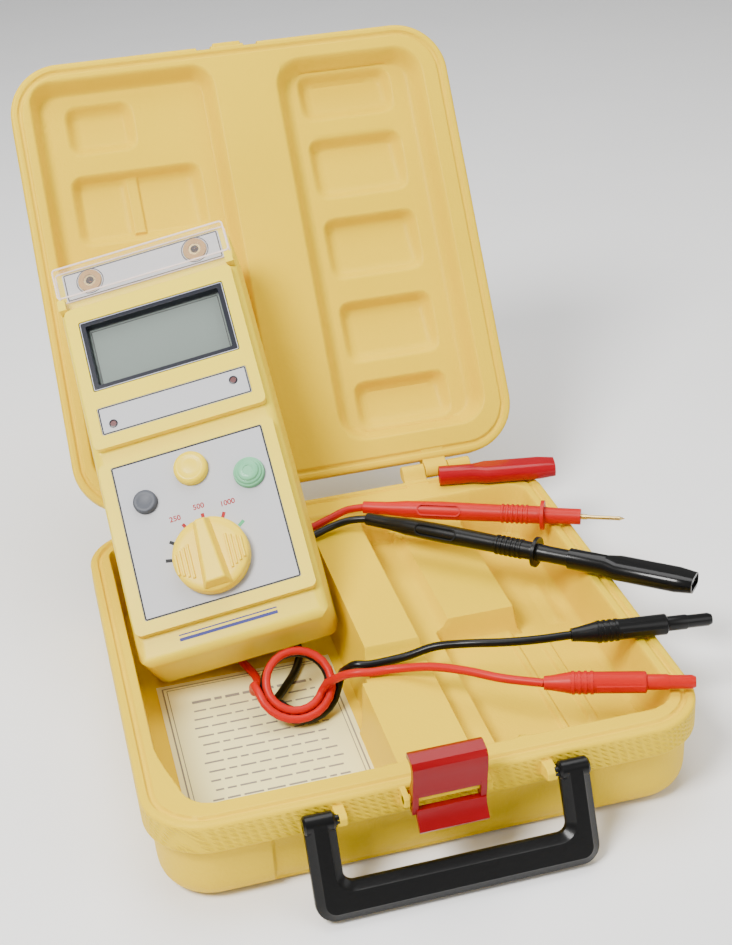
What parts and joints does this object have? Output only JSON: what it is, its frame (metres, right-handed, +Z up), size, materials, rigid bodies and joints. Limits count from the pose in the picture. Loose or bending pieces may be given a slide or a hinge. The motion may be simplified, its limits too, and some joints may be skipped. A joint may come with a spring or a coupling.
{
  "type": "insulation resistance tester",
  "caption": "Handheld digital insulation resistance tester with rotary range switch and flip-up terminal cover, in its open latching carry case with coiled leads, probes and crocodile clips.",
  "frame": {"origin": "centre of the carry case's underside, on the surface it stands on", "axes": "+Z up, -Y towards the latch and handle at the front of the case, +X to the right seen from the front"},
  "size_m": [0.2656, 0.4059, 0.2481],
  "materials": {
    "case_plastic": "blow-moulded polyethylene with a fine texture",
    "latch_plastic": "crimson moulding, slightly translucent",
    "handle_plastic": "black satin moulding",
    "card_paper": "plain printed card",
    "body_plastic": "satin ABS",
    "clear_cover": "clear pinkish plastic",
    "label_plate": "printed label plate",
    "bezel_plastic": "dark blue-black satin",
    "lcd_glass": "grey-green reflective display",
    "socket_plastic": "orange-brown insulator",
    "green_plastic": "mint green moulding",
    "grey_plastic": "grey moulding",
    "lamp_lens": "clear red lens",
    "white_plastic": "off-white moulding",
    "board": "green circuit board laminate",
    "black_plastic": "black moulding",
    "winding": "taped transformer winding",
    "can": "sleeved aluminium can",
    "fuse_glass": "glass tube with end caps",
    "plated_metal": "nickel-plated metal",
    "contact_brass": "bright brass",
    "black_lead": "soft PVC, satin",
    "red_lead": "soft PVC, satin",
    "black_clip": "glossy soft moulding",
    "red_clip": "glossy crimson moulding"
  },
  "bodies": {
    "base": {"case_base": "case_plastic", "hinge_pins": "plated_metal", "paper_card": "card_paper"},
    "lid": {"case_lid": "case_plastic"},
    "latch": {"latch": "latch_plastic"},
    "handle": {"carry_handle": "handle_plastic"},
    "tester": {"front_cover": "body_plastic", "rear_cover": "body_plastic", "terminal_plate": "label_plate", "line_socket": "socket_plastic", "earth_socket": "socket_plastic", "socket_contacts": "contact_brass", "lcd_bezel": "bezel_plastic", "lcd_window": "clear_cover", "lcd_panel": "lcd_glass", "title_plate": "label_plate", "control_plate": "label_plate", "indicator_lamps": "lamp_lens", "rotary_switch": "grey_plastic", "tact_switches": "plated_metal", "main_board": "board", "hv_transformer": "winding", "capacitor": "can", "fuse": "fuse_glass", "fuse_clips": "plated_metal", "buzzer": "black_plastic", "battery_holder": "black_plastic", "batteries": "can", "battery_door": "body_plastic", "battery_door_screw": "plated_metal", "case_screws": "plated_metal"},
    "knob": {"range_knob": "body_plastic", "range_shaft": "white_plastic"},
    "test_button": {"test_button": "body_plastic"},
    "hold_button": {"hold_button": "grey_plastic"},
    "light_button": {"light_button": "green_plastic"},
    "terminal_cover": {"terminal_cover": "clear_cover"},
    "leads": {"black_probe_cord": "black_lead", "black_store_coil": "black_lead", "black_mid_cord": "black_lead", "black_front_loop": "black_lead", "black_plug_cord": "black_lead", "black_probe": "black_lead", "black_needle": "plated_metal", "black_plug": "black_lead", "black_plug_pin": "plated_metal", "red_probe_cord": "red_lead", "red_store_coil": "red_lead", "red_mid_cord": "red_lead", "red_front_loop": "red_lead", "red_plug_cord": "red_lead", "red_probe": "red_lead", "red_needle": "plated_metal", "red_plug": "red_lead", "red_plug_pin": "plated_metal"},
    "black_clip": {"black_clip_boot": "black_clip", "black_clip_jaws": "plated_metal"},
    "red_clip": {"red_clip_boot": "red_clip", "red_clip_jaws": "plated_metal"}
  },
  "joints": [
    {"name": "lid_hinge", "type": "hinge", "parent": "base", "child": "lid", "pos_m": [0, 0.1219, 0.0443], "axis": [1, 0, 0], "range_deg": [0, 122.4]},
    {"name": "tester_lift", "type": "slide", "parent": "base", "child": "tester", "axis": [-0.235, -0.6241, 0.7452], "range_m": [0, 0.65]},
    {"name": "leads_lift", "type": "slide", "parent": "base", "child": "leads", "axis": [-0.235, -0.6241, 0.7452], "range_m": [0, 0.65]},
    {"name": "red_clip_lift", "type": "slide", "parent": "base", "child": "red_clip", "axis": [-0.235, -0.6241, 0.7452], "range_m": [0, 0.65]},
    {"name": "latch_swing", "type": "hinge", "parent": "base", "child": "latch", "pos_m": [0, -0.1213, 0.04], "axis": [1, 0, 0], "range_deg": [-9, 30]},
    {"name": "handle_swing", "type": "hinge", "parent": "base", "child": "handle", "pos_m": [0, -0.1218, 0.038], "axis": [-1, 0, 0], "range_deg": [0, 95]},
    {"name": "range_switch", "type": "hinge", "parent": "tester", "child": "knob", "pos_m": [-0.06385, 0.02964, 0.07303], "axis": [-0.235, -0.6241, 0.7452], "range_deg": [-75, 60]},
    {"name": "test_press", "type": "slide", "parent": "tester", "child": "test_button", "axis": [0.235, 0.6241, -0.7452], "range_m": [0, 0.002], "stiffness_N_per_m": 900, "springref_m": -0.001},
    {"name": "hold_press", "type": "slide", "parent": "tester", "child": "hold_button", "axis": [0.235, 0.6241, -0.7452], "range_m": [0, 0.002], "stiffness_N_per_m": 900, "springref_m": -0.001},
    {"name": "light_press", "type": "slide", "parent": "tester", "child": "light_button", "axis": [0.235, 0.6241, -0.7452], "range_m": [0, 0.002], "stiffness_N_per_m": 900, "springref_m": -0.001},
    {"name": "terminal_cover_hinge", "type": "hinge", "parent": "tester", "child": "terminal_cover", "pos_m": [-0.06677, 0.14743, 0.16043], "axis": [0.9715, -0.1254, 0.2014], "range_deg": [0, 90]},
    {"name": "black_clip_slide", "type": "slide", "parent": "leads", "child": "black_clip", "axis": [0.744, -0.668, 0.018], "range_m": [0, 0.035]}
  ],
  "couplings": [
    {"joint": "tester_lift", "follows": "lid_hinge", "m_per_rad": 0.3},
    {"joint": "leads_lift", "follows": "lid_hinge", "m_per_rad": 0.3},
    {"joint": "red_clip_lift", "follows": "lid_hinge", "m_per_rad": 0.3}
  ]
}
